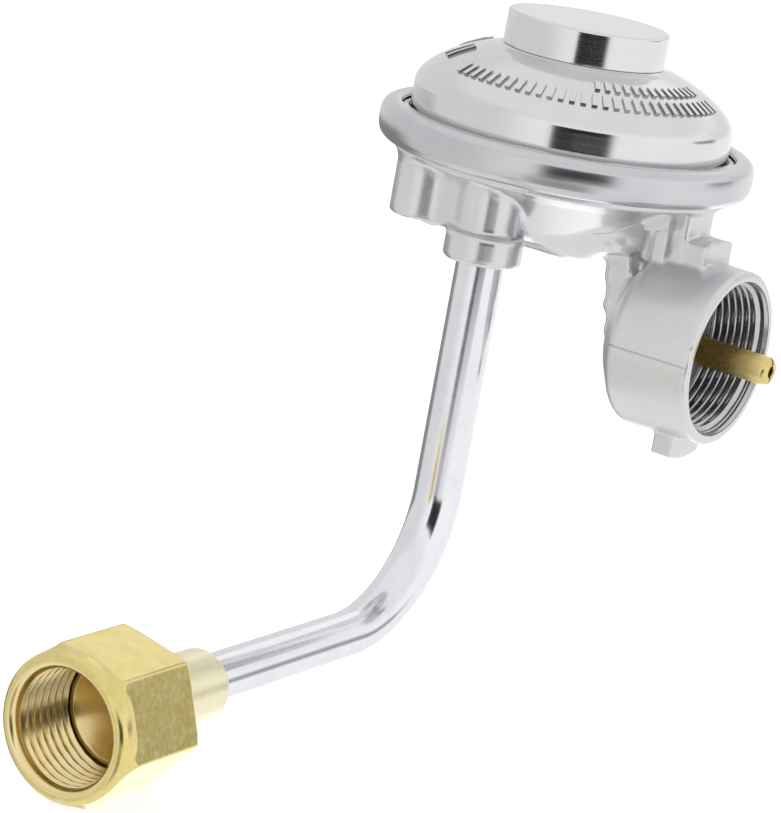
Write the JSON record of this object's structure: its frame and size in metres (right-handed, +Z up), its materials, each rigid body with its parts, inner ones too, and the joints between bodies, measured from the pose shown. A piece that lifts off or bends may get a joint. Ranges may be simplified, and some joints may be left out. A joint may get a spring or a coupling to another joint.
{
  "type": "gas pressure regulator",
  "caption": "Round diaphragm gas regulator with a screwed inlet collar, a bent outlet tube and a brass swivel nut on its end.",
  "frame": {"origin": "centre of the flat top face of the bonnet cap, on the main axis", "axes": "+Z up along the main axis out of the cap, +X out of the inlet collar's mouth, the swivel nut's mouth faces -Y"},
  "size_m": [0.0761, 0.1451, 0.1114],
  "materials": {
    "cast_alloy": "satin die-cast metal with a faint casting grain",
    "ring_metal": "satin rolled metal",
    "bonnet_metal": "polished die-cast metal",
    "steel": "plain stamped steel",
    "spring_steel": "bright spring wire",
    "diaphragm_rubber": "fabric-backed black rubber",
    "seal_rubber": "matt black rubber",
    "filter_bronze": "sintered bronze",
    "tube_plating": "bright plated tube",
    "nut_brass": "machined yellow brass",
    "pin_brass": "darker machined brass"
  },
  "bodies": {
    "casing": {"body": "cast_alloy", "crimp_ring": "ring_metal", "bonnet": "bonnet_metal", "bonnet_cap": "bonnet_metal", "vent_screen": "filter_bronze", "main_spring": "spring_steel", "diaphragm": "diaphragm_rubber", "lever_pin": "steel", "inlet_nozzle": "pin_brass", "inlet_probe": "pin_brass", "inlet_gasket": "seal_rubber", "inlet_filter": "filter_bronze", "outlet_tube": "tube_plating", "tube_seal": "seal_rubber", "tailpiece": "nut_brass"},
    "diaphragm_carriage": {"diaphragm_plate": "steel", "backing_washer": "steel", "diaphragm_stem": "pin_brass", "stem_nut": "steel"},
    "rocker": {"valve_lever": "steel", "seat_pad": "seal_rubber"},
    "spring_carriage": {"spring_seat": "steel"},
    "screw": {"adjusting_screw": "steel"},
    "nut": {"swivel_nut": "nut_brass"}
  },
  "joints": [
    {"name": "diaphragm_travel", "type": "slide", "parent": "casing", "child": "diaphragm_carriage", "axis": [0, 0, 1], "range_m": [-0.0012, 0.00055], "deforming": ["diaphragm", "main_spring"]},
    {"name": "lever_rock", "type": "hinge", "parent": "casing", "child": "rocker", "pos_m": [0.0146, 0, -0.0285], "axis": [0, 1, 0], "range_deg": [-4.8, 2.3]},
    {"name": "spring_seat_travel", "type": "slide", "parent": "casing", "child": "spring_carriage", "axis": [0, 0, 1], "range_m": [-0.00101, 0.00061]},
    {"name": "adjusting_turn", "type": "hinge", "parent": "spring_carriage", "child": "screw", "pos_m": [0, 0, -0.0041], "axis": [0, 0, 1], "range_deg": [-240, 144]},
    {"name": "nut_spin", "type": "hinge", "parent": "casing", "child": "nut", "pos_m": [0, -0.104, -0.09995], "axis": [0, -1, 0], "continuous": true}
  ],
  "couplings": [
    {"joint": "lever_rock", "follows": "diaphragm_travel", "rad_per_m": 68.493},
    {"joint": "spring_seat_travel", "follows": "adjusting_turn", "m_per_rad": 0.00023873}
  ]
}
